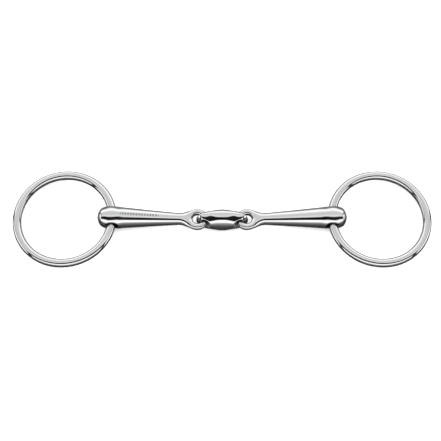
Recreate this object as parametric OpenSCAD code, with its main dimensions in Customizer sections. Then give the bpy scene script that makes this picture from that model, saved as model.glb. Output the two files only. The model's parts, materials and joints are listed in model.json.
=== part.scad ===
// Double-jointed loose-ring snaffle bit: two tapered arms joined by a lozenge link,
// with a round ring running loose through the outer end of each arm.
// It lies flat: X runs along the mouthpiece, Z is up, and the table is at z = 0.
// Its arms are folded a little towards -Y, as they settle when the bit is laid down.

/* [Mouthpiece] */
// Distance between the two ring holes, centre to centre
mouth_w = 136; // [118:1:170]
// Diameter of each arm where the ring goes through
arm_end_d = 14.2; // [12:0.1:18]
// How far the rounded end reaches past the centre of the ring hole
arm_end_reach = 9; // [7.5:0.1:12]
// Diameter of each arm at its neck, just before the joint eye
neck_d = 6.9; // [5.6:0.1:8.4]
// Shape of the taper: 1 is a straight cone, more is hollower
taper_power = 1.1; // [1:0.05:1.6]
// Angle that each arm is folded forwards from a straight mouthpiece
arm_fold = 1.5; // [0:0.1:3]

/* [Rings] */
// Inner diameter of each ring
ring_inner_d = 54; // [44:1:66]
// Thickness of the round rod that the ring is bent from
ring_rod_d = 5.4; // [4.4:0.1:6.5]
// Clearance between the ring's rod and the wall of its hole
ring_gap = 0.2; // [0.15:0.05:0.4]
// How much wider the hole is at its mouths than in its middle, on the radius
mouth_flare = 1.4; // [0.6:0.1:1.8]

/* [Joints] */
// Thickness of the arm's rim round its joint eye
eye_rim_d = 4.2; // [3.4:0.1:5]
// Thickness of the bar round each hole of the link
link_bar_d = 3; // [2.4:0.1:3.6]
// Clearance between the arm's rim and the link's bar
joint_gap = 0.4; // [0.3:0.05:0.8]
// Extra room inside the arm's eye, on the radius
eye_play = 0.7; // [0.5:0.1:1.4]

/* [Link] */
// Length of the centre link over its tips
link_len = 32.2; // [28:0.2:40]
// Width of the centre link at its middle, across its holes
link_w = 14.5; // [12:0.1:17]
// Thickness of the centre link at its middle, along its holes
link_h = 11.6; // [9:0.1:14]
// Fullness of the link: 1 is a plain swell, less is fuller towards its tips
link_fullness = 0.8; // [0.6:0.05:1.2]
// Angle of the link's holes above level
link_tilt = 20; // [10:1:30]
// How far the link has slipped forwards in the arms' eyes
link_slip = 0.3; // [0:0.1:0.5]

/* [Hidden] */
$fn = 64;

steel = [0.80, 0.81, 0.82];

// Number of straight steps that stand for each curved outline
cap_steps = 8;
taper_steps = 12;
link_steps = 8;

// How far each cut runs past the piece that it cuts
past = 1;

// Share of its bar's radius at which a body stops short, so that no two faces just touch
sunk = 0.95;

end_r = arm_end_d / 2;
neck_r = neck_d / 2;
rod_r = ring_rod_d / 2;
rim_r = eye_rim_d / 2;
bar_r = link_bar_d / 2;

// The whole mouthpiece lies level, at the height of its thickest piece.
link_rise = norm([link_w * cos(link_tilt), link_h * sin(link_tilt)]) / 2;
axis_z = max(end_r, link_rise);

// Each link hole leaves the gap round a rim that crosses it at the tilt.
link_eye_r = (rim_r + bar_r + joint_gap) / cos(link_tilt);
link_hole_x = link_len / 2 - link_eye_r - bar_r;

// The lozenge ends inside the bar round each hole, just short of the bar's middle.
lozenge_half = link_len / 2 - bar_r - bar_r * (1 - sunk);
flatness = link_h / link_w;

// Each arm's eye goes round the link's bar, its rim through the middle of the link's hole.
arm_eye_r = link_eye_r + eye_play;
eye_x = link_hole_x + arm_eye_r;

// The arms lean from their ring holes in to their eyes.
bore_x = mouth_w / 2;
arm_len = (bore_x - eye_x) / cos(arm_fold);
eye_y = -arm_len * sin(arm_fold);
taper_len = arm_len - arm_eye_r - rim_r;

// Angle round the eye, from the neck, that the shoulder reaches on each side
shoulder_spread = 48;

// The ring bends as it goes through the arm, so the hole has room for half the bend's rise.
ring_r = ring_inner_d / 2 + rod_r;
land_half = end_r / 2;
bend_rise = ring_r - sqrt(ring_r * ring_r - land_half * land_half);
bore_r = rod_r + bend_rise + ring_gap;
ring_inset = bend_rise;

// Each ring's outer side drops until it rests on the table.
ring_drop = asin((axis_z - rod_r) / (2 * ring_r - ring_inset));

// Radius of the arm at a distance from its ring hole towards the joint
function arm_radius(d) =
    neck_r + (end_r - neck_r) * pow(max(0, 1 - d / taper_len), taper_power);

// Radius of the link at a share of the way from its middle to its tip
function link_radius(share) =
    bar_r + (link_w / 2 - bar_r) * pow(cos(90 * share), link_fullness);

// A closed ring of round rod lying in XY
module round_ring(centre_r, tube_r) {
    rotate_extrude()
        translate([centre_r, 0])
            circle(r = tube_r);
}

// Everything that lies inside a round ring's hole, with mouths as wide as its centreline
module ring_hole(centre_r, tube_r, half_depth) {
    rotate_extrude()
        difference() {
            translate([0, -half_depth])
                square([centre_r, 2 * half_depth]);
            translate([centre_r, 0])
                circle(r = tube_r);
        }
}

// Round hole along Z for the ring's rod: a straight land with a flared mouth on each side
module ring_bore() {
    run = end_r - land_half;
    flare_r = (run * run + mouth_flare * mouth_flare) / (2 * mouth_flare);
    cylinder(r = bore_r, h = 2 * (end_r + past), center = true);
    for (way = [0, 180])
        rotate([way, 0, 0])
            rotate_extrude()
                difference() {
                    translate([0, land_half])
                        square([bore_r + mouth_flare, run + past]);
                    translate([bore_r + flare_r, land_half])
                        circle(r = flare_r);
                }
}

// Solid of revolution along X: rounded outer end, then the taper down to the neck
module arm_shaft() {
    cap = [for (i = [0:cap_steps - 1])
        let(a = 90 * i / cap_steps)
        [end_r * sin(a), -arm_end_reach * cos(a)]];
    taper = [for (i = [0:taper_steps])
        let(d = taper_len * i / taper_steps)
        [arm_radius(d), d]];
    rotate([0, 90, 0])
        rotate_extrude()
            polygon(concat(cap, taper, [[0, taper_len]]));
}

// Shoulder that spreads from the neck to both sides of the eye
module arm_shoulder() {
    hull() {
        translate([taper_len - rim_r, 0, 0])
            sphere(r = neck_r, $fn = 32);
        for (turn = [180 - shoulder_spread, 180 + shoulder_spread])
            translate([arm_len + arm_eye_r * cos(turn), arm_eye_r * sin(turn), 0])
                sphere(r = rim_r * sunk, $fn = 32);
    }
}

// One arm along +X, with its ring hole at the origin and its joint eye at arm_len
module arm() {
    difference() {
        union() {
            arm_shaft();
            arm_shoulder();
        }
        rotate([90, 0, 0])
            ring_bore();
        translate([arm_len, 0, 0])
            ring_hole(arm_eye_r, rim_r, end_r + past);
    }
    translate([arm_len, 0, 0])
        round_ring(arm_eye_r, rim_r);
}

module left_arm() {
    color(steel)
        translate([-bore_x, 0, axis_z])
            rotate([0, 0, -arm_fold])
                arm();
}

module right_arm() {
    color(steel)
        translate([bore_x, 0, axis_z])
            rotate([0, 0, 180 + arm_fold])
                arm();
}

// Lozenge along X, swelling from thin tips to a full middle, and flatter along Z than Y
module lozenge() {
    profile = [for (i = [-link_steps:link_steps])
        let(share = i / link_steps)
        [link_radius(abs(share)), lozenge_half * share]];
    scale([1, 1, flatness])
        rotate([0, 90, 0])
            rotate_extrude()
                polygon(concat([[0, -lozenge_half]], profile, [[0, lozenge_half]]));
}

// Link with an eye at each end; the eyes' axis leans up towards -Y
module centre_link() {
    lean = [90 - link_tilt, 0, 0];
    color(steel)
        translate([0, eye_y - link_slip, axis_z]) {
            difference() {
                rotate(lean)
                    difference() {
                        lozenge();
                        for (x = [-link_hole_x, link_hole_x])
                            translate([x, 0, 0])
                                cylinder(r = link_eye_r - bar_r, h = link_w, center = true);
                    }
                for (x = [-eye_x, eye_x])
                    translate([x, link_slip, 0])
                        round_ring(arm_eye_r, rim_r + joint_gap);
            }
            rotate(lean)
                for (x = [-link_hole_x, link_hole_x])
                    translate([x, 0, 0])
                        round_ring(link_eye_r, bar_r);
        }
}

// Ring through a hole at the origin, reaching out along +X and down to the table
module ring() {
    rotate([0, ring_drop, 0])
        translate([ring_r - ring_inset, 0, 0])
            round_ring(ring_r, rod_r);
}

module left_ring() {
    color(steel)
        translate([-bore_x, 0, axis_z])
            rotate([0, 0, 180])
                ring();
}

module right_ring() {
    color(steel)
        translate([bore_x, 0, axis_z])
            ring();
}

centre_link();
left_arm();
right_arm();
left_ring();
right_ring();
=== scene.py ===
# %% [markdown]
# # A snaffle bit in mirror-polished steel
# The bit is five pieces of steel: two tapered arms, a lozenge link between them, and a loose
# round ring through the outer end of each arm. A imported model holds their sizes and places, and
# each piece here is modelled afresh at that size, because polished metal shows every facet.
# Everything is in metres, with X along the mouthpiece and Z up from the table.

# %% Load the frame
import json
import math

import bmesh
import bpy
import numpy as np
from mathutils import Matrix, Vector

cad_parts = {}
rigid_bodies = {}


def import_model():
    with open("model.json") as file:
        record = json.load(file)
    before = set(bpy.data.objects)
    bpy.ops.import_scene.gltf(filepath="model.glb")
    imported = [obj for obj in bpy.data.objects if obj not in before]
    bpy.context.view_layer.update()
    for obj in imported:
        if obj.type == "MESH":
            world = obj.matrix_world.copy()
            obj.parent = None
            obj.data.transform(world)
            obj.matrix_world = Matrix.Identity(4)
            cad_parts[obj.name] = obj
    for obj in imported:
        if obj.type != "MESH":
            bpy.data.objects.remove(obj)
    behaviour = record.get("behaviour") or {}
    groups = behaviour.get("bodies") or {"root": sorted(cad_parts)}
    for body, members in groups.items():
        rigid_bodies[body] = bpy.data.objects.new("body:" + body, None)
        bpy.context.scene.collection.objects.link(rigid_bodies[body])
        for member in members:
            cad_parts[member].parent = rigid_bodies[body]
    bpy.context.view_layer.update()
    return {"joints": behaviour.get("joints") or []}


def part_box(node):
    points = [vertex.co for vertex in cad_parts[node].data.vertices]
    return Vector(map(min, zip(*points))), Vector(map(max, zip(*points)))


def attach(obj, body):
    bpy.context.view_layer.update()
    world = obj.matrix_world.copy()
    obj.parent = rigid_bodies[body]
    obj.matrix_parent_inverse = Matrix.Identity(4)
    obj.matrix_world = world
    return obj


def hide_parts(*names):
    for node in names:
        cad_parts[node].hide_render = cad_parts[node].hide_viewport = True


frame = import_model()

# %% [markdown]
# ## Sizes
# The joints of the frame say where each eye and each ring hole has its centre, and the boxes
# of its nodes say how long and thick each piece is. What a box can't say, such as the
# thickness of a rim, is named here once.

# %% Sizes from the frame, and the few that it doesn't hold
MM = 0.001
joint_at = {joint["name"]: Vector(joint["pos_m"]) for joint in frame["joints"]}
eye_at = joint_at["right_arm_swing"]
hole_at = joint_at["right_ring_swing"]
arm_low, arm_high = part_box("right_arm")
link_low, link_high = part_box("centre_link")
ring_low, ring_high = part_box("right_ring")

AXIS_HEIGHT = hole_at.z
EYE_DISTANCE = (hole_at - eye_at).length
ARM_FOLD = math.asin(-eye_at.y / EYE_DISTANCE)
ARM_END_RADIUS = AXIS_HEIGHT
ARM_REACH = arm_high.x - hole_at.x
NECK_RADIUS = 3.45 * MM
TAPER_POWER = 1.1
RIM_RADIUS = 2.1 * MM
EYE_RADIUS = eye_at.y - arm_low.y - RIM_RADIUS
EYE_PLAY = 0.7 * MM
TAPER_LENGTH = EYE_DISTANCE - EYE_RADIUS - RIM_RADIUS

BORE_RADIUS = 3.2 * MM
BORE_MOUTH = 4.3 * MM
BORE_SUPPORT = 1.1 * MM

LINK_AT = (link_low + link_high) / 2
LINK_HALF = (link_high.x - link_low.x) / 2
LINK_HALF_WIDTH = 7.25 * MM
LINK_HALF_THICKNESS = 5.8 * MM
LINK_TILT = math.radians(20)
BAR_RADIUS = 1.5 * MM
LINK_EYE_RADIUS = EYE_RADIUS - EYE_PLAY
LINK_EYE_X = LINK_HALF - LINK_EYE_RADIUS - BAR_RADIUS

ROD_RADIUS = 2.7 * MM
RING_RADIUS = (ring_high.y - ring_low.y) / 2 - ROD_RADIUS
print("arm", EYE_DISTANCE, "eye", EYE_RADIUS, "link eye", LINK_EYE_X, "ring", RING_RADIUS)

# %% [markdown]
# ## Helpers for modelling
# Each piece starts as a cube or a circle and is shaped in edit mode. An operator works on what
# is selected, so these helpers select by place, the way a modeller would click on a loop.
# A subdivision surface doesn't pass through its corners: it pulls a loop of them inwards, and
# rounds off a profile. So `swell` says how much larger a loop has to be drawn, and
# `draw_through` works out where the corners of a profile go for the surface to pass through
# the wanted points.

# %% Helpers that select, drag and subdivide
TINY = 0.01 * MM


def swell(corners):
    """How much larger a loop of that many corners is drawn than its smooth circle."""
    return 3 / (2 + math.cos(2 * math.pi / corners))


def draw_through(wanted):
    """Corner values whose smooth curve passes through the wanted ones; both ends are held."""
    count = len(wanted)
    weights = (4 * np.eye(count) + np.eye(count, k=1) + np.eye(count, k=-1)) / 6
    weights[0] = weights[-1] = 0
    weights[0, 0] = weights[-1, -1] = 1
    return np.linalg.solve(weights, np.array(wanted)).tolist()


def pick(piece, test):
    """Selects in edit mode the vertices whose place passes the test, and nothing else."""
    mesh = bmesh.from_edit_mesh(piece.data)
    for part in list(mesh.verts) + list(mesh.edges) + list(mesh.faces):
        part.select_set(False)
    for vert in mesh.verts:
        if test(vert.co):
            vert.select_set(True)
    mesh.select_flush(True)
    bmesh.update_edit_mesh(piece.data)


def drag(piece, test, place):
    """Moves each vertex that passes the test to the place worked out from where it was."""
    mesh = bmesh.from_edit_mesh(piece.data)
    for vert in mesh.verts:
        if test(vert.co):
            vert.co = place(vert.co.copy())
    bmesh.update_edit_mesh(piece.data)


def edit(piece):
    """Makes the piece the only selected one and goes into edit mode."""
    bpy.ops.object.mode_set(mode="OBJECT")
    bpy.ops.object.select_all(action="DESELECT")
    piece.select_set(True)
    bpy.context.view_layer.objects.active = piece
    bpy.ops.object.mode_set(mode="EDIT")


def subdivide(piece, levels):
    """Applies a subdivision surface; only the last one is laid on its limit surface."""
    bpy.ops.object.mode_set(mode="OBJECT")
    smooth = piece.modifiers.new("Smooth", "SUBSURF")
    smooth.levels = smooth.render_levels = levels
    smooth.use_limit_surface = levels > 1
    bpy.context.view_layer.objects.active = piece
    bpy.ops.object.modifier_apply(modifier=smooth.name)


def start_bar(name, stations):
    """An eight-sided bar along X: a cube cut once each way, then extruded to each station."""
    bpy.ops.object.select_all(action="DESELECT")
    first, second, third = stations[:3]
    bpy.ops.mesh.primitive_cube_add(size=1, location=((first + third) / 2, 0, 0),
                                    scale=(third - first, 2 * MM, 2 * MM))
    piece = bpy.context.object
    piece.name = piece.data.name = name
    bpy.ops.object.transform_apply(location=True, rotation=True, scale=True)
    edit(piece)
    bpy.ops.mesh.select_all(action="SELECT")
    bpy.ops.mesh.subdivide(number_cuts=1)
    drag(piece, lambda co: abs(co.x - (first + third) / 2) < TINY,
         lambda co: Vector((second, co.y, co.z)))
    for before, station in zip(stations[2:], stations[3:]):
        pick(piece, lambda co: co.x > before - TINY)
        bpy.ops.mesh.extrude_region_move(
            TRANSFORM_OT_translate={"value": (station - before, 0, 0)})
    return piece


def set_station(piece, station, corners):
    """Drags a station's eight corners to the places of a side, a diagonal and a top corner."""
    side, diagonal, top = corners

    def place(co):
        sign_y = (co.y > TINY) - (co.y < -TINY)
        sign_z = (co.z > TINY) - (co.z < -TINY)
        if sign_y and sign_z:
            corner = diagonal
        elif sign_y:
            corner = side
        elif sign_z:
            corner = top
        else:
            return co
        return Vector((corner[0], corner[1] * sign_y, corner[2] * sign_z))

    drag(piece, lambda co: abs(co.x - station) < TINY, place)


def oval_corners(x, half_width, half_height):
    """The side, diagonal and top corner of an oval section."""
    side = half_width * swell(8)
    top = half_height * swell(8)
    slant = math.sqrt(0.5)
    return (x, side, 0), (x, side * slant, top * slant), (x, 0, top)


def finish_piece(piece, place, turn=(0, 0, 0)):
    """Smooths the piece, puts it in its place in its mesh, and turns its faces outwards."""
    bpy.ops.object.mode_set(mode="OBJECT")
    bpy.ops.object.select_all(action="DESELECT")
    piece.select_set(True)
    bpy.context.view_layer.objects.active = piece
    piece.location = place
    piece.rotation_euler = turn
    bpy.ops.object.transform_apply(location=True, rotation=True, scale=True)
    edit(piece)
    bpy.ops.mesh.select_all(action="SELECT")
    bpy.ops.mesh.remove_doubles(threshold=0.001 * MM)
    bpy.ops.mesh.normals_make_consistent(inside=False)
    bpy.ops.object.mode_set(mode="OBJECT")
    bpy.ops.object.shade_smooth()
    low = [min(v.co[i] for v in piece.data.vertices) * 1000 for i in range(3)]
    high = [max(v.co[i] for v in piece.data.vertices) * 1000 for i in range(3)]
    print(piece.name, "faces", len(piece.data.polygons),
          "from", [round(c, 2) for c in low], "to", [round(c, 2) for c in high])


# %% [markdown]
# ## An eye
# Both the arms and the link end in eyes: a bar that goes round a hole. On the real bit they are
# cast as one with the body. A boolean would leave a hard crease where the bar meets the body,
# so the hole is opened in the mesh instead: the faces over and under it are deleted and their
# two edge loops are bridged. All the loops round the hole are then dragged on to a ring of
# round section, and the surface flows from the bar into the body with no seam.

# %% Helper that opens an eye
STEP = math.radians(22.5)
# The middle vertex of a hole lies nearer to its centre than this
MIDDLE = 0.3 * MM
# How far the loops beside a mouth are drawn from it, and from each other
INSET = 0.35 * MM
SUPPORT = 0.8 * MM
OUTSIDE = 0.3 * MM


def open_eye(piece, centre_x, outward, radius, bar, mouth, skin=None):
    """Opens a hole along Z at centre_x; outward is 1 if the eye's free end points along +X.

    The mouth is a function of the angle round the hole from its free end, and gives the
    distance from the centre and the height at which the bar has its crown there; the lower
    mouth is the upper one turned over. If the height of the skin is given too, a loop is
    laid on it close to the mouth, for a crisp edge.
    """
    flat = swell(16)
    drawn_bar = bar * swell(8)
    slant = drawn_bar * math.sqrt(0.5)
    inner = radius - (bar if skin else drawn_bar)

    def angle_of(co):
        return round(math.atan2(co.y, (co.x - centre_x) * outward) / STEP) * STEP

    def on_ring(distance, angle, z):
        return Vector((centre_x + outward * distance * flat * math.cos(angle),
                       distance * flat * math.sin(angle), z))

    def side(co):
        return (co.z > TINY) - (co.z < -TINY)

    edit(piece)
    pick(piece, lambda co: math.hypot(co.x - centre_x, co.y) < MIDDLE)
    bpy.ops.mesh.select_more()
    bpy.ops.mesh.select_more()
    if skin:
        bpy.ops.mesh.inset(thickness=INSET, use_even_offset=False)
    bpy.ops.mesh.select_mode(type="FACE")
    bpy.ops.mesh.delete(type="FACE")
    bpy.ops.mesh.select_mode(type="VERT")

    bpy.ops.mesh.select_all(action="DESELECT")
    bpy.ops.mesh.select_non_manifold(extend=False)
    mesh = bmesh.from_edit_mesh(piece.data)
    rim = {vert for vert in mesh.verts if vert.select}
    around = {edge.other_vert(vert) for vert in rim for edge in vert.link_edges}
    support = around.difference(rim) if skin else set()
    free = [vert for vert in mesh.verts if vert not in rim and vert not in support
            and (vert.co.x - centre_x) * outward > -0.2 * MM]
    for vert in support:
        angle = angle_of(vert.co)
        spot = on_ring(mouth(angle * side(vert.co))[0] + SUPPORT, angle, 0)
        spot.z = skin(spot.x, spot.y) * swell(12) * side(vert.co)
        vert.co = spot
    for vert in free:
        angle = angle_of(vert.co)
        up = side(vert.co) if abs(vert.co.z) > bar * 0.2 else 0
        if up and skin:
            outside = max(radius + 0.5 * bar, mouth(angle * up)[0] + SUPPORT + OUTSIDE)
            vert.co = on_ring(outside, angle, 0)
            vert.co.z = skin(vert.co.x, vert.co.y) * swell(8) * up
        elif up:
            height = mouth(angle * up)[1] * math.sqrt(0.5)
            vert.co = on_ring(radius + slant, angle, up * height)
        else:
            vert.co = on_ring(radius + drawn_bar, angle, 0)
    for vert in rim:
        angle = angle_of(vert.co)
        distance, height = mouth(angle * side(vert.co))
        vert.co = on_ring(distance, angle, height * side(vert.co))
    bmesh.update_edit_mesh(piece.data)
    bpy.ops.mesh.bridge_edge_loops(number_cuts=3)

    def in_hole(co):
        distance, height = mouth(angle_of(co) * side(co))
        near = math.hypot(co.x - centre_x, co.y) < distance * flat + TINY
        return near and abs(co.z) < height * 0.75

    def to_wall(co):
        angle = angle_of(co)
        distance, height = mouth(angle * side(co))
        if abs(co.z) < 0.1 * height:
            return on_ring(inner, angle, 0)
        slope = math.radians(45)
        wall = inner + (distance - inner) * (1 - math.cos(slope))
        return on_ring(wall, angle, side(co) * height * math.sin(slope))

    drag(piece, in_hole, to_wall)


# %% [markdown]
# ## An arm
# Each arm is a cast cannon: a rounded end as thick as a finger, a taper that thins towards
# the joint, and an eye. It could be a lathe shape with a torus added, but the neck has to
# spread into the eye with a soft hollow. So it is drawn as an eight-sided bar with a few
# stations along it. The stations at the eye are already widened and flattened, and one
# subdivision gives enough faces to open the two holes.

# %% Model one arm along X, with its ring hole at the origin
def arm_radius(distance):
    """Radius of the taper at a distance from the ring hole."""
    rest = max(0, 1 - distance / TAPER_LENGTH)
    return NECK_RADIUS + (ARM_END_RADIUS - NECK_RADIUS) * rest ** TAPER_POWER


def cap_radius(x):
    """Radius of the blunt end at a place before the ring hole."""
    return ARM_END_RADIUS * (1 - abs(x / ARM_REACH) ** 2.4) ** 0.46


def arm_bar():
    """The bar with all its stations, before any hole."""
    eye = EYE_DISTANCE
    cap = [-7.4 * MM, -4.6 * MM]
    taper = [0, 4.6 * MM, 9 * MM, 15 * MM, 22 * MM, 29 * MM, 36 * MM, 40.5 * MM]
    neck_x = 43 * MM
    shoulder = 4.6 * MM
    stations = cap + taper + [neck_x, eye - shoulder, eye, eye + shoulder]
    piece = start_bar("right_arm_polished", stations)

    wanted_x = [-ARM_REACH] + cap + taper + [neck_x]
    wanted_r = [0] + [cap_radius(x) for x in cap] + [arm_radius(x) for x in taper + [neck_x]]
    drawn_x = draw_through(wanted_x)[1:]
    drawn_r = draw_through(wanted_r)[1:]
    tip = (36 * -ARM_REACH - 20 * drawn_x[0]) / 16
    drag(piece, lambda co: abs(co.x - cap[0]) < TINY and co.yz.length < TINY,
         lambda co: Vector((tip, 0, 0)))
    for station, x, radius in zip(stations, drawn_x, drawn_r):
        set_station(piece, station, oval_corners(x, radius, radius))

    spread = swell(8) * math.sqrt(0.5)
    wide = EYE_RADIUS + 1.5 * RIM_RADIUS
    high = 1.5 * RIM_RADIUS
    near, far = eye - shoulder, eye + shoulder
    set_station(piece, near, ((eye - wide * spread, wide * spread * 0.97, 0),
                              (eye - EYE_RADIUS * spread, EYE_RADIUS * spread, high),
                              (eye - EYE_RADIUS * swell(8), 0, high * 1.05)))
    set_station(piece, eye, ((eye, wide * swell(8), 0),
                             (eye, EYE_RADIUS * swell(8), high), (eye, 0, high)))
    set_station(piece, far, ((eye + wide * spread, wide * spread, 0),
                             (eye + EYE_RADIUS * spread, EYE_RADIUS * spread, high),
                             (eye + EYE_RADIUS * swell(8), 0, high)))
    drag(piece, lambda co: abs(co.x - far) < TINY and co.yz.length < TINY,
         lambda co: Vector((eye + wide * swell(8), 0, 0)))
    return piece


def open_bore(piece):
    """Opens the ring's hole along Y: a straight land whose mouths flare into the end."""
    flat = swell(16)

    def on_hole(co, distance, y):
        angle = round(math.atan2(co.z, co.x) / STEP) * STEP
        return Vector((distance * flat * math.cos(angle), y, distance * flat * math.sin(angle)))

    def skin(x, z):
        outer = arm_radius(x) if x > 0 else cap_radius(x)
        return math.sqrt(max((outer * flat) ** 2 - z ** 2, 0))

    def on_skin(vert, distance):
        spot = on_hole(vert.co, distance, 0)
        spot.y = math.copysign(skin(spot.x, spot.z), vert.co.y)
        return spot

    edit(piece)
    pick(piece, lambda co: math.hypot(co.x, co.z) < MIDDLE)
    bpy.ops.mesh.select_more()
    bpy.ops.mesh.select_more()
    bpy.ops.mesh.inset(thickness=INSET, use_even_offset=False)
    bpy.ops.mesh.select_mode(type="FACE")
    bpy.ops.mesh.delete(type="FACE")
    bpy.ops.mesh.select_mode(type="VERT")
    bpy.ops.mesh.select_all(action="DESELECT")
    bpy.ops.mesh.select_non_manifold(extend=False)
    mesh = bmesh.from_edit_mesh(piece.data)
    edge_loop = [vert for vert in mesh.verts if vert.select]
    beyond = {edge.other_vert(vert) for vert in edge_loop for edge in vert.link_edges}
    for vert in beyond.difference(edge_loop):
        vert.co = on_skin(vert, BORE_MOUTH + BORE_SUPPORT)
    for vert in edge_loop:
        vert.co = on_skin(vert, BORE_MOUTH)
    bmesh.update_edit_mesh(piece.data)
    bpy.ops.mesh.bridge_edge_loops(number_cuts=7)
    flare = {6: (0.45, 0.90), 4: (0.08, 0.62), 2: (0, 0.30), 0: (0, 0)}

    def share(co):
        edge = on_hole(co, BORE_MOUTH, 0)
        return co.y / skin(edge.x, edge.z)

    def inside(co):
        near = math.hypot(co.x, co.z) < BORE_MOUTH * flat + TINY
        return near and abs(share(co)) < 0.8

    def to_flare(co):
        level = share(co)
        widen, depth = flare[round(abs(level) * 8)]
        edge = on_hole(co, BORE_MOUTH, 0)
        distance = BORE_RADIUS + (BORE_MOUTH - BORE_RADIUS) * widen
        return on_hole(co, distance, math.copysign(depth * skin(edge.x, edge.z), level))

    drag(piece, inside, to_flare)


right_arm = arm_bar()
subdivide(right_arm, 1)
open_eye(right_arm, EYE_DISTANCE, 1, EYE_RADIUS, RIM_RADIUS,
         lambda angle: (EYE_RADIUS, RIM_RADIUS * swell(8)))
open_bore(right_arm)
subdivide(right_arm, 3)

# %% [markdown]
# The left arm is the same casting turned end for end, so it is a copy with its own mesh.
# Each is then put in its place, with the place kept in the mesh.

# %% Copy the arm and place both
bpy.ops.object.select_all(action="DESELECT")
right_arm.select_set(True)
bpy.context.view_layer.objects.active = right_arm
bpy.ops.object.duplicate(linked=False)
left_arm = bpy.context.object
left_arm.name = left_arm.data.name = "left_arm_polished"
finish_piece(right_arm, hole_at, (0, 0, math.pi + ARM_FOLD))
finish_piece(left_arm, joint_at["left_ring_swing"], (0, 0, -ARM_FOLD))

# %% [markdown]
# ## The centre link
# The link is a lozenge: full and round in the middle, thin at its tips, with a hole through
# each end that opens like a funnel on both sides. It is drawn like the arms, as a bar
# with stations, and gets an eye at each end. Over each hole's inner side the funnel's edge
# climbs on to the round middle, so the helper is told how high the middle stands there.

# %% Model the link along X, with its holes along Z
def link_share(x):
    """How full the lozenge is at a place, from 1 in the middle to 0 at its tips."""
    return (1 - min(1, abs(x) / LINK_HALF) ** 2.2) ** 0.8


def link_half_width(x):
    """Half the link's width: the lozenge, or the round of the eye's bar near the tip."""
    eye_outer = LINK_EYE_RADIUS + BAR_RADIUS
    if abs(x) < LINK_EYE_X:
        return eye_outer + (LINK_HALF_WIDTH - eye_outer) * (1 - (x / LINK_EYE_X) ** 2)
    return math.sqrt(max(eye_outer ** 2 - (abs(x) - LINK_EYE_X) ** 2, 0))


def link_skin(x, y):
    """Height of the lozenge over its middle plane."""
    across = min(1, abs(y) / max(link_half_width(x), TINY))
    return LINK_HALF_THICKNESS * link_share(x) * math.sqrt(1 - across ** 2)


def link_mouth(angle):
    """The link's mouths lie on its skin, and open out to the side on which the rim leaves."""
    open_out = (1 + math.cos(angle + math.radians(45))) / 2
    distance = LINK_EYE_RADIUS - BAR_RADIUS * 0.8 + 1.25 * MM * open_out ** 2
    height = link_skin(LINK_EYE_X + distance * math.cos(angle), distance * math.sin(angle))
    return distance, height * swell(8)


def link_bar():
    """The bar with its stations, before its holes."""
    eye = LINK_EYE_X
    near, far = 5.6 * MM, LINK_EYE_X + 3.5 * MM
    wide = LINK_EYE_RADIUS + 1.5 * BAR_RADIUS
    spread = swell(8) * math.sqrt(0.5)
    stations = [-far, -eye, -near, 0, near, eye, far]
    piece = start_bar("centre_link_polished", stations)
    middle_width = LINK_HALF_WIDTH + (LINK_HALF_WIDTH - link_half_width(near)) / 3
    middle_height = LINK_HALF_THICKNESS * 1.03
    set_station(piece, 0, oval_corners(0, middle_width, middle_height))
    for way in (-1, 1):
        x = way * near
        set_station(piece, x, oval_corners(x, link_half_width(near), link_skin(near, 0) * 1.02))
        x = way * eye
        set_station(piece, x, oval_corners(x, wide, link_skin(eye, 0)))
        x = way * far
        high = link_skin(far, 0)
        set_station(piece, x, ((way * (eye + wide * spread), wide * spread, 0),
                               (x, LINK_EYE_RADIUS * spread, high), (x, 0, high)))
        tip = way * (eye + wide * swell(8))
        drag(piece, lambda co: abs(co.x - x) < TINY and co.yz.length < TINY,
             lambda co: Vector((tip, 0, 0)))
    return piece


centre_link = link_bar()
subdivide(centre_link, 1)
for way in (-1, 1):
    open_eye(centre_link, way * LINK_EYE_X, way, LINK_EYE_RADIUS, BAR_RADIUS, link_mouth,
             link_skin)
subdivide(centre_link, 3)
finish_piece(centre_link, LINK_AT, (math.pi / 2 - LINK_TILT, 0, 0))

# %% [markdown]
# ## The rings
# Each ring is a length of round rod bent into a circle and welded shut through its arm. A
# torus primitive would do, but spinning the rod's section round the ring's centre is how it
# is really made, and it leaves the section's own corners free to choose. The ring hangs in
# its hole on the inner side and drops until its outer side lies on the table.

# %% Spin one ring and place it on each side
BEND_RISE = RING_RADIUS - math.sqrt(RING_RADIUS ** 2 - (ARM_END_RADIUS / 2) ** 2)
RING_REACH = RING_RADIUS - BEND_RISE
RING_DROP = math.asin((AXIS_HEIGHT - ROD_RADIUS) / (RING_REACH + RING_RADIUS))


def spin_ring(name):
    """A ring in XY round the origin, of round rod."""
    bpy.ops.object.select_all(action="DESELECT")
    bpy.ops.mesh.primitive_circle_add(vertices=40, radius=ROD_RADIUS, location=(RING_RADIUS, 0, 0),
                                      rotation=(math.pi / 2, 0, 0))
    piece = bpy.context.object
    piece.name = piece.data.name = name
    bpy.ops.object.transform_apply(location=True, rotation=True, scale=True)
    edit(piece)
    bpy.ops.mesh.select_all(action="SELECT")
    bpy.ops.mesh.spin(steps=200, angle=2 * math.pi, center=(0, 0, 0), axis=(0, 0, 1))
    bpy.ops.object.mode_set(mode="OBJECT")
    return piece


def place_ring(name, hole, way):
    """Spins a ring and hangs it in its hole; way is 1 on the right and -1 on the left."""
    piece = spin_ring(name)
    place = (hole.x + way * RING_REACH * math.cos(RING_DROP), 0,
             hole.z - RING_REACH * math.sin(RING_DROP))
    finish_piece(piece, place, (0, way * RING_DROP, 0))
    return piece


right_ring = place_ring("right_ring_polished", hole_at, 1)
left_ring = place_ring("left_ring_polished", joint_at["left_ring_swing"], -1)

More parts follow.
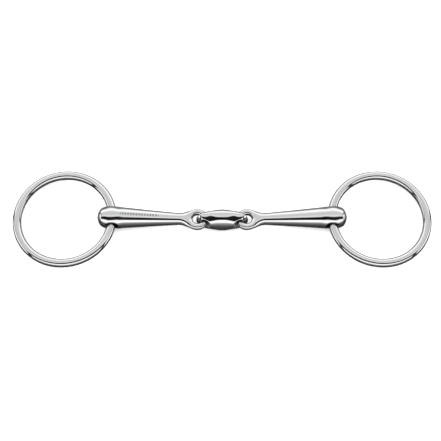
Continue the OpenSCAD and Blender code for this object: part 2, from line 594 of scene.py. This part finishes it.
# %% [markdown]
# ## Polished steel
# Mirror-polished steel is never a perfect mirror. The polishing wheel leaves hair lines along
# the piece, the hand that holds it leaves slow waves that bend the reflections, and use adds
# fine scratches. Each is a noise on a bump or a roughness, read from Object coordinates
# so that it stays on the metal when the piece moves. The left arm also carries a plain
# row of etched dots on top, where such a bit is usually marked.

# %% Make the steel
MARK_PITCH = 1.7 * MM
MARK_DOTS = 14
MARK_HALF_WIDTH = 0.75 * MM


def steel(name, stretch, mark=None):
    """Polished steel whose hair lines run along the axis in which stretch is small.

    A mark is an etched row of dots along X: the X at which it starts, the Y of its first
    dot, its slope, and the height that it lies above.
    """
    material = bpy.data.materials.new(name)
    material.use_nodes = True
    nodes, links = material.node_tree.nodes, material.node_tree.links
    shader = nodes["Principled BSDF"]
    shader.inputs["Metallic"].default_value = 1.0
    shader.inputs["IOR"].default_value = 2.5

    place = nodes.new("ShaderNodeTexCoord")

    def noise(scale, detail, squeeze=(1, 1, 1)):
        mapping = nodes.new("ShaderNodeMapping")
        mapping.inputs["Scale"].default_value = squeeze
        texture = nodes.new("ShaderNodeTexNoise")
        texture.inputs["Scale"].default_value = scale
        texture.inputs["Detail"].default_value = detail
        links.new(place.outputs["Object"], mapping.inputs["Vector"])
        links.new(mapping.outputs["Vector"], texture.inputs["Vector"])
        return texture.outputs["Fac"]

    def ramp(value, low, high, from_value, to_value):
        scale = nodes.new("ShaderNodeMapRange")
        scale.inputs["From Min"].default_value = low
        scale.inputs["From Max"].default_value = high
        scale.inputs["To Min"].default_value = from_value
        scale.inputs["To Max"].default_value = to_value
        links.new(value, scale.inputs["Value"])
        return scale.outputs["Result"]

    def bump(height, strength, distance, below=None):
        node = nodes.new("ShaderNodeBump")
        node.inputs["Strength"].default_value = strength
        node.inputs["Distance"].default_value = distance
        links.new(height, node.inputs["Height"])
        if below:
            links.new(below, node.inputs["Normal"])
        return node.outputs["Normal"]

    waves = bump(noise(140, 1.0), 0.12, 0.05 * MM)
    hair = bump(noise(2600, 2.0, stretch), 0.10, 0.004 * MM, waves)
    links.new(hair, shader.inputs["Normal"])

    smudge = ramp(noise(90, 4.0), 0.35, 0.75, 0.035, 0.10)
    links.new(smudge, shader.inputs["Roughness"])

    def maths(operation, first, second):
        node = nodes.new("ShaderNodeMath")
        node.operation = operation
        for socket, value in zip(node.inputs, (first, second)):
            if isinstance(value, (int, float)):
                socket.default_value = value
            else:
                links.new(value, socket)
        return node.outputs["Value"]

    tone = nodes.new("ShaderNodeValToRGB")
    tone.color_ramp.elements[0].position = 0.3
    tone.color_ramp.elements[0].color = (0.80, 0.805, 0.815, 1)
    tone.color_ramp.elements[1].position = 0.7
    tone.color_ramp.elements[1].color = (0.86, 0.862, 0.865, 1)
    links.new(noise(60, 3.0), tone.inputs["Fac"])
    links.new(tone.outputs["Color"], shader.inputs["Base Color"])

    if mark:
        start, first_y, slope, height = mark
        half = MARK_DOTS * MARK_PITCH / 2
        split = nodes.new("ShaderNodeSeparateXYZ")
        links.new(place.outputs["Object"], split.inputs["Vector"])
        along = maths("SUBTRACT", split.outputs["X"], start)
        line = maths("MULTIPLY", along, slope)
        across = maths("SUBTRACT", maths("SUBTRACT", split.outputs["Y"], first_y), line)
        to_dot = maths("PINGPONG", along, MARK_PITCH / 2)
        dot = maths("LESS_THAN", to_dot, 0.3 * MARK_PITCH)
        row = maths("LESS_THAN", maths("ABSOLUTE", across, 0), MARK_HALF_WIDTH)
        inside = maths("LESS_THAN", maths("ABSOLUTE", maths("SUBTRACT", along, half), 0), half)
        above = maths("GREATER_THAN", split.outputs["Z"], height)
        etched = maths("MULTIPLY", maths("MULTIPLY", dot, row), maths("MULTIPLY", inside, above))
        shade = nodes.new("ShaderNodeMixRGB")
        shade.inputs["Color2"].default_value = (0.30, 0.30, 0.31, 1)
        links.new(etched, shade.inputs["Fac"])
        links.new(tone.outputs["Color"], shade.inputs["Color1"])
        links.new(shade.outputs["Color"], shader.inputs["Base Color"])
        links.new(maths("MAXIMUM", smudge, maths("MULTIPLY", etched, 0.5)),
                  shader.inputs["Roughness"])
    return material


along_bar = (0.06, 1, 1)
mark_from_hole = 5.2 * MM
mark_x = joint_at["left_ring_swing"].x + mark_from_hole
mark_slope = -math.tan(ARM_FOLD)
arm_steel = steel("arm_polished_steel", along_bar)
marked_steel = steel("marked_polished_steel", along_bar,
                     (mark_x, mark_slope * mark_from_hole, mark_slope, AXIS_HEIGHT))
link_steel = steel("link_polished_steel", along_bar)
ring_steel = steel("ring_polished_steel", (1, 1, 1))
for piece, finish in ((right_arm, arm_steel), (left_arm, marked_steel), (centre_link, link_steel),
                      (right_ring, ring_steel), (left_ring, ring_steel)):
    piece.data.materials.clear()
    piece.data.materials.append(finish)

# %% [markdown]
# ## Joining the pieces to the frame
# Each piece takes the place of its plain stand-in, so it rides on the same body and moves
# when that body's joint turns.

# %% Ride and replace
for piece, node in ((centre_link, "centre_link"), (left_arm, "left_arm"),
                    (right_arm, "right_arm"), (left_ring, "left_ring"),
                    (right_ring, "right_ring")):
    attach(piece, node)
    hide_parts(node)

# %% [markdown]
# ## Table and light
# A mirror shows only what stands round it, so the light is drawn as what the metal should
# reflect: a wide soft box overhead, a narrow dark gap in front of it, a bright card in
# front and another behind, and darkness under the front edge. Light that has already met
# the metal once is dimmer, which keeps the insides of the holes dark. The table is pale and
# matt, and evenly lit. It is kept out of the reflections, where it would wash out the dark
# lines that give polished steel its edge.

# %% Lay the table
bpy.ops.object.select_all(action="DESELECT")
bpy.ops.mesh.primitive_plane_add(size=6, location=(0, 0, 0))
table = bpy.context.object
table.name = "table"
table.visible_glossy = False
paper = bpy.data.materials.new("pale_paper")
paper.use_nodes = True
paper.node_tree.nodes["Principled BSDF"].inputs["Base Color"].default_value = (0.93, 0.93, 0.93, 1)
paper.node_tree.nodes["Principled BSDF"].inputs["Roughness"].default_value = 0.9
paper.node_tree.nodes["Principled BSDF"].inputs["Specular IOR Level"].default_value = 0.1
table.data.materials.append(paper)

# %% Draw the studio
SOFT_WHITE = 2.4
DARK = 0.004
# Angle in degrees over the front horizon, and how bright the studio is there
STUDIO = [(-180, 0.25), (-150, 0.25), (-114, 0.20), (-95, 0.10), (-78, 0.03), (-45, 0.05),
          (-30, 0.08), (-16, 0.14), (0, 0.30), (8, 0.50), (13, 0.85), (17, 1.25), (37, 1.25),
          (43, DARK), (70, DARK), (73, 0.70), (82, 0.90), (94, 0.72), (115, 0.67), (130, 0.78),
          (141, 1.15), (167, 1.20), (173, 0.70), (178, 0.30), (180, 0.25)]
# Share of a direction that points sideways, and how bright the studio is there
SIDES = [(0.850, DARK), (0.905, DARK), (0.925, 1.25), (1.0, 1.25)]

world = bpy.data.worlds.new("studio")
bpy.context.scene.world = world
world.use_nodes = True
nodes, links = world.node_tree.nodes, world.node_tree.links
nodes.clear()


def calculate(operation, first, second=None):
    """One math node on two values, each a socket or a number."""
    node = nodes.new("ShaderNodeMath")
    node.operation = operation
    for socket, value in zip(node.inputs, (first, second)):
        if isinstance(value, (int, float)):
            socket.default_value = value
        elif value is not None:
            links.new(value, socket)
    return node.outputs["Value"]


def remap(value, low, high, from_value=0.0, to_value=1.0):
    """Brings a value between low and high to the range between the other two."""
    node = nodes.new("ShaderNodeMapRange")
    for name, number in (("From Min", low), ("From Max", high),
                         ("To Min", from_value), ("To Max", to_value)):
        node.inputs[name].default_value = number
    links.new(value, node.inputs["Value"])
    return node.outputs["Result"]


def levels(value, steps):
    """A grey ramp through the steps, each a place from 0 to 1 and a brightness."""
    ramp = nodes.new("ShaderNodeValToRGB")
    stops = ramp.color_ramp.elements
    for index, (place, level) in enumerate(steps):
        stop = stops[index] if index < 2 else stops.new(place)
        stop.position = place
        stop.color = (level, level, level, 1)
    links.new(value, ramp.inputs["Fac"])
    return ramp.outputs["Color"]


direction = nodes.new("ShaderNodeTexCoord")
split = nodes.new("ShaderNodeSeparateXYZ")
links.new(direction.outputs["Generated"], split.inputs["Vector"])
forward = calculate("MULTIPLY", split.outputs["Y"], -1)
angle = calculate("ARCTAN2", split.outputs["Z"], forward)
around = levels(remap(angle, -math.pi, math.pi),
                [((degrees + 180) / 360, level) for degrees, level in STUDIO])
sideways = calculate("ABSOLUTE", split.outputs["X"])
beside = levels(sideways, SIDES)
is_beside = calculate("MULTIPLY", remap(sideways, 0.835, 0.85),
                      remap(split.outputs["Z"], -0.16, -0.06))
both = nodes.new("ShaderNodeMixRGB")
links.new(is_beside, both.inputs["Fac"])
links.new(around, both.inputs["Color1"])
links.new(beside, both.inputs["Color2"])
ray = nodes.new("ShaderNodeLightPath")
studio = nodes.new("ShaderNodeBackground")
links.new(both.outputs["Color"], studio.inputs["Color"])
links.new(remap(ray.outputs["Ray Depth"], 2.2, 2.8, 1.0, 0.25), studio.inputs["Strength"])
room = nodes.new("ShaderNodeBackground")
room.inputs["Color"].default_value = (1, 1, 1, 1)
room.inputs["Strength"].default_value = SOFT_WHITE
either = nodes.new("ShaderNodeMixShader")
links.new(ray.outputs["Is Glossy Ray"], either.inputs["Fac"])
links.new(room.outputs["Background"], either.inputs[1])
links.new(studio.outputs["Background"], either.inputs[2])
output = nodes.new("ShaderNodeOutputWorld")
links.new(either.outputs["Shader"], output.inputs["Surface"])
bpy.context.scene.view_settings.view_transform = "Standard"

# %% [markdown]
# ## Camera
# The bit is looked at from above and in front, from far enough away that its two ends are
# hardly larger than its middle.

# %% Set up the camera
CAMERA_HEIGHT_ANGLE = math.radians(65.5)
CAMERA_DISTANCE = 1.0584
look_at = Vector((-0.0010, -0.0016, 0.006))
camera_data = bpy.data.cameras.new("camera")
camera_data.lens = 140
camera_data.sensor_width = 36
camera = bpy.data.objects.new("camera", camera_data)
bpy.context.scene.collection.objects.link(camera)
away = Vector((0, -math.cos(CAMERA_HEIGHT_ANGLE), math.sin(CAMERA_HEIGHT_ANGLE)))
camera.location = look_at + away * CAMERA_DISTANCE
camera.rotation_euler = (math.pi / 2 - CAMERA_HEIGHT_ANGLE, 0, 0)
bpy.context.scene.camera = camera
